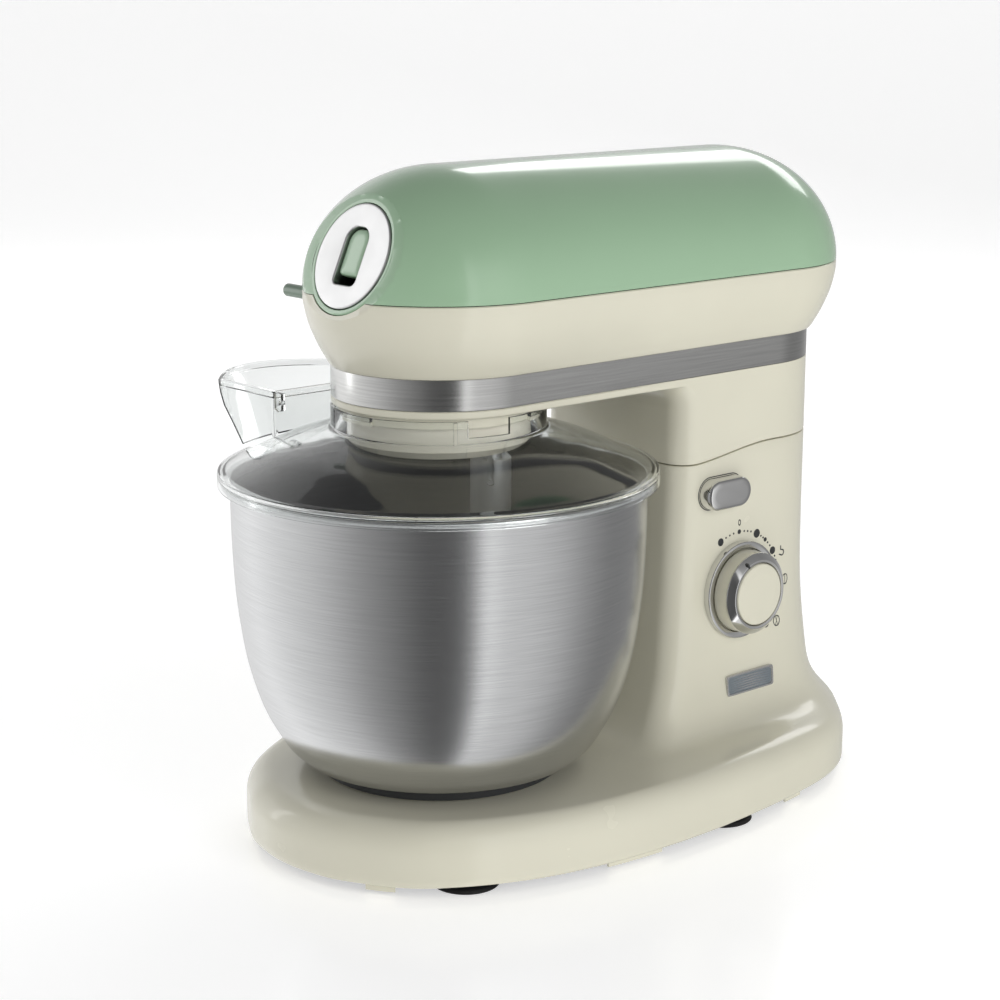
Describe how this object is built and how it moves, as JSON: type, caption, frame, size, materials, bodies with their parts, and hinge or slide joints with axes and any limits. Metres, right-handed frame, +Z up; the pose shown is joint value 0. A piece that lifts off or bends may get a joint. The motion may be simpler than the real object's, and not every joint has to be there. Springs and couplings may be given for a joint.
{
  "type": "stand mixer",
  "caption": "Tilting-head stand mixer with a planetary flat beater, a steel bowl, a clear splash lid with a feed chute, and a speed dial.",
  "frame": {"origin": "on the worktop plane, under the bowl's axis, in the plane of symmetry", "axes": "+Z up along the bowl's axis, +Y from the nose towards the column, +X to the dial's side"},
  "size_m": [0.2861, 0.407, 0.3635],
  "materials": {
    "cream_plastic": "gloss",
    "green_plastic": "gloss",
    "chrome_plate": "mirror",
    "brushed_band": "brushed along its length",
    "brushed_bowl": "brushed round its axis",
    "badge_metal": "satin",
    "clear_plastic": "clear",
    "black_rubber": "matt",
    "dark_plastic": "matt",
    "belt_rubber": "matt",
    "bright_steel": "turned",
    "cast_aluminium": "cast",
    "gear_steel": "hobbed",
    "motor_iron": "laminated",
    "copper": "enamelled",
    "carbon": "matt",
    "circuit_board": "matt"
  },
  "bodies": {
    "stand": {"stand_shell": "cream_plastic", "bottom_cover": "dark_plastic", "suction_feet": "black_rubber", "base_screws": "bright_steel", "bowl_seat": "bright_steel", "stand_hinge_bracket": "bright_steel", "hinge_pin": "bright_steel", "latch_guide": "dark_plastic", "button_spring": "bright_steel", "dial_bezel": "chrome_plate", "speed_switch": "dark_plastic", "control_board": "circuit_board", "badge": "badge_metal", "cable_gland": "black_rubber"},
    "head": {"head_upper_shell": "green_plastic", "head_lower_shell": "cream_plastic", "steel_band": "brushed_band", "arm_and_neck": "cream_plastic", "shell_screws": "bright_steel", "neck_hinge_bracket": "bright_steel", "latch_striker": "bright_steel", "chassis": "cast_aluminium", "gearbox_bridge": "cast_aluminium", "planet_housing": "cast_aluminium", "ring_gear": "gear_steel", "shaft_bearings": "bright_steel", "drive_belt": "belt_rubber", "motor_stator": "motor_iron", "motor_windings": "copper", "motor_end_plates": "cast_aluminium", "carbon_brushes": "carbon", "nose_cover": "chrome_plate"},
    "nose_latch": {"cover_latch": "green_plastic"},
    "side_pin": {"hub_lock_pin": "green_plastic"},
    "release": {"release_button": "chrome_plate", "latch_slider": "dark_plastic"},
    "dial": {"knob_body": "cream_plastic", "knob_trim": "chrome_plate", "knob_face": "cream_plastic", "switch_spindle": "bright_steel"},
    "carrier": {"main_shaft": "bright_steel", "main_gear": "gear_steel", "planet_carrier": "cream_plastic", "tool_bearings": "bright_steel"},
    "planet": {"planet_gear": "gear_steel", "tool_shaft": "bright_steel", "tool_pin": "bright_steel", "flat_beater": "cast_aluminium"},
    "counter": {"countershaft": "bright_steel", "pinion": "gear_steel", "big_pulley": "cast_aluminium"},
    "motor": {"motor_shaft": "bright_steel", "armature": "motor_iron", "commutator": "copper", "cooling_fan": "dark_plastic", "motor_pulley": "cast_aluminium"},
    "lid": {"lid": "clear_plastic", "feed_chute": "clear_plastic"},
    "bowl": {"bowl": "brushed_bowl", "bowl_foot_ring": "dark_plastic"}
  },
  "joints": [
    {"name": "head_tilt", "type": "hinge", "parent": "stand", "child": "head", "pos_m": [0, 0.244, 0.2], "axis": [-1, 0, 0], "range_deg": [0, 35]},
    {"name": "release_push", "type": "slide", "parent": "stand", "child": "release", "axis": [-1, 0, 0], "range_m": [0, 0.004], "stiffness_N_per_m": 400, "springref_m": -0.003},
    {"name": "dial_turn", "type": "hinge", "parent": "stand", "child": "dial", "pos_m": [0.06, 0.1734, 0.1158], "axis": [-1, 0, 0], "range_deg": [-30, 150]},
    {"name": "carrier_spin", "type": "hinge", "parent": "head", "child": "carrier", "pos_m": [0, 0, 0.23], "axis": [0, 0, 1], "continuous": true},
    {"name": "planet_spin", "type": "hinge", "parent": "carrier", "child": "planet", "pos_m": [0.01801, 0.02078, 0.23], "axis": [0, 0, 1], "continuous": true},
    {"name": "counter_spin", "type": "hinge", "parent": "head", "child": "counter", "pos_m": [0, 0.04875, 0.285], "axis": [0, 0, 1], "continuous": true},
    {"name": "motor_spin", "type": "hinge", "parent": "head", "child": "motor", "pos_m": [0, 0.172, 0.32], "axis": [0, 0, 1], "continuous": true},
    {"name": "lid_twist", "type": "hinge", "parent": "head", "child": "lid", "pos_m": [0, 0, 0.23], "axis": [0, 0, 1], "range_deg": [0, 28]},
    {"name": "bowl_twist", "type": "hinge", "parent": "stand", "child": "bowl", "pos_m": [0, 0, 0.045], "axis": [0, 0, 1], "range_deg": [0, 32]},
    {"name": "nose_latch_slide", "type": "slide", "parent": "head", "child": "nose_latch", "axis": [0, -0.4067, -0.9135], "range_m": [0, 0.0045]},
    {"name": "side_pin_slide", "type": "slide", "parent": "head", "child": "side_pin", "axis": [1, 0, 0], "range_m": [0, 0.004]}
  ],
  "couplings": [
    {"joint": "planet_spin", "follows": "carrier_spin", "ratio": -3},
    {"joint": "counter_spin", "follows": "carrier_spin", "ratio": -5.5},
    {"joint": "motor_spin", "follows": "carrier_spin", "ratio": -24.588}
  ]
}
